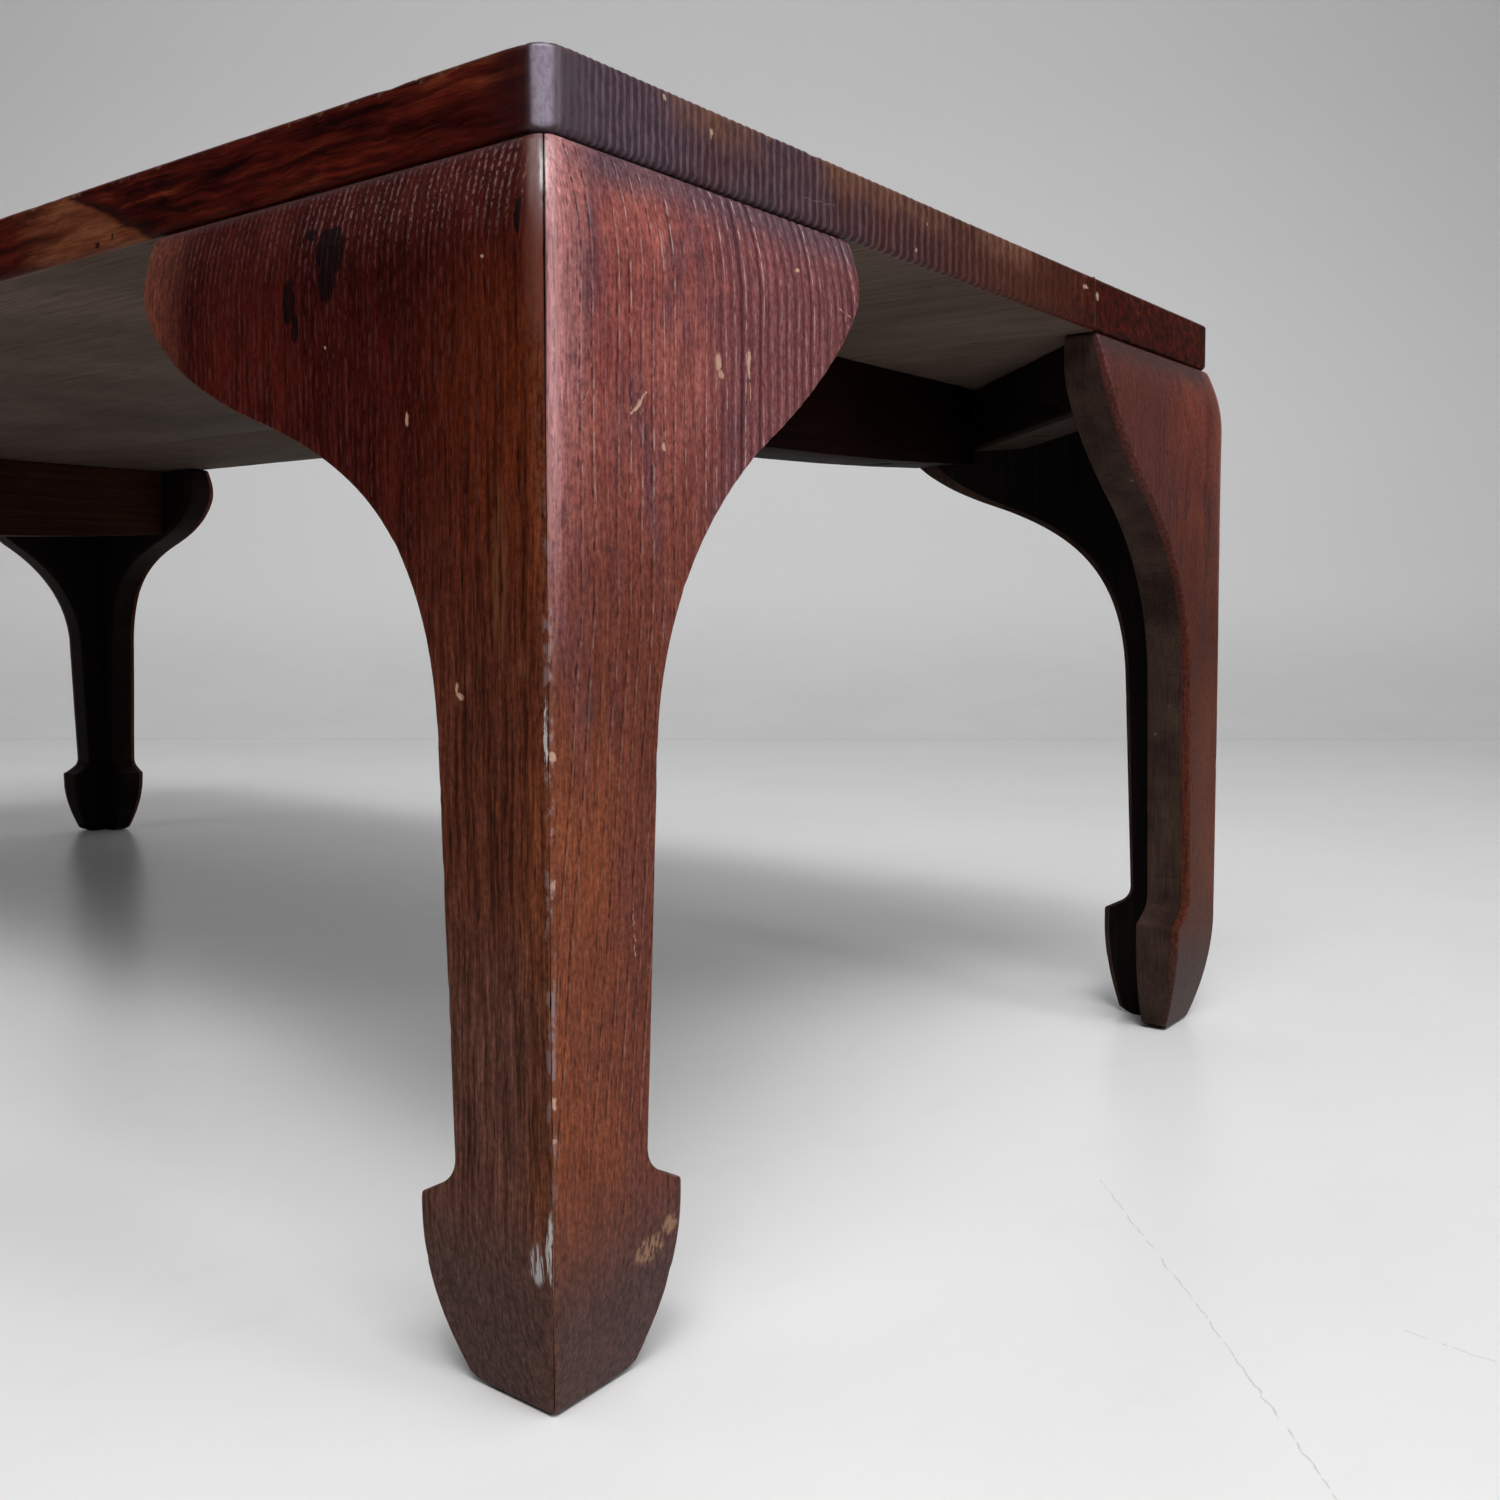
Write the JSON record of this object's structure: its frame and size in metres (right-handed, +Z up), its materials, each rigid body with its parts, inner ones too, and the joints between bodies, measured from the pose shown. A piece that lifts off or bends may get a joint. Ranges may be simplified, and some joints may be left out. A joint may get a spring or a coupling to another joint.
{
  "type": "low floor table",
  "caption": "Low rectangular floor table of dark stained wood: solid edge-joined top on mitred bracket legs with hoof feet, cross battens and corner braces beneath.",
  "frame": {"origin": "on the floor, under the middle of the table's bounding box", "axes": "+X along the table's length, towards the right end; +Y across its width, towards the back; +Z up"},
  "size_m": [1.01, 0.452, 0.332],
  "materials": {
    "leg_wood": "worn dark red-brown stain, satin",
    "top_wood": "worn dark brown stain, satin",
    "batten_wood": "thin brown stain, dull",
    "brace_wood": "raw, greyed, dull",
    "bare_wood": "raw, planed",
    "iron": "dark, oxidised"
  },
  "bodies": {
    "root": {"top_board_wide": "top_wood", "top_board_narrow": "top_wood", "top_joint_tongue": "bare_wood", "batten_right": "batten_wood", "batten_left": "batten_wood", "front_right_leg_long_board": "leg_wood", "front_right_leg_end_board": "leg_wood", "back_right_leg_long_board": "leg_wood", "back_right_leg_end_board": "leg_wood", "front_left_leg_long_board": "leg_wood", "front_left_leg_end_board": "leg_wood", "back_left_leg_long_board": "leg_wood", "back_left_leg_end_board": "leg_wood", "front_right_leg_spline": "bare_wood", "back_right_leg_spline": "bare_wood", "front_left_leg_spline": "bare_wood", "back_left_leg_spline": "bare_wood", "front_right_corner_brace": "brace_wood", "back_right_corner_brace": "brace_wood", "front_left_corner_brace": "brace_wood", "back_left_corner_brace": "brace_wood", "front_right_leg_long_dowel": "bare_wood", "front_right_leg_end_dowel": "bare_wood", "back_right_leg_long_dowel": "bare_wood", "back_right_leg_end_dowel": "bare_wood", "front_left_leg_long_dowel": "bare_wood", "front_left_leg_end_dowel": "bare_wood", "back_left_leg_long_dowel": "bare_wood", "back_left_leg_end_dowel": "bare_wood", "front_right_brace_long_nail": "iron", "front_right_brace_end_nail": "iron", "back_right_brace_long_nail": "iron", "back_right_brace_end_nail": "iron", "front_left_brace_long_nail": "iron", "front_left_brace_end_nail": "iron", "back_left_brace_long_nail": "iron", "back_left_brace_end_nail": "iron", "front_right_brace_screw": "iron", "back_right_brace_screw": "iron", "front_left_brace_screw": "iron", "back_left_brace_screw": "iron", "batten_right_screw_front": "iron", "batten_right_screw_middle": "iron", "batten_right_screw_back": "iron", "batten_left_screw_front": "iron", "batten_left_screw_middle": "iron", "batten_left_screw_back": "iron"}
  },
  "joints": []
}
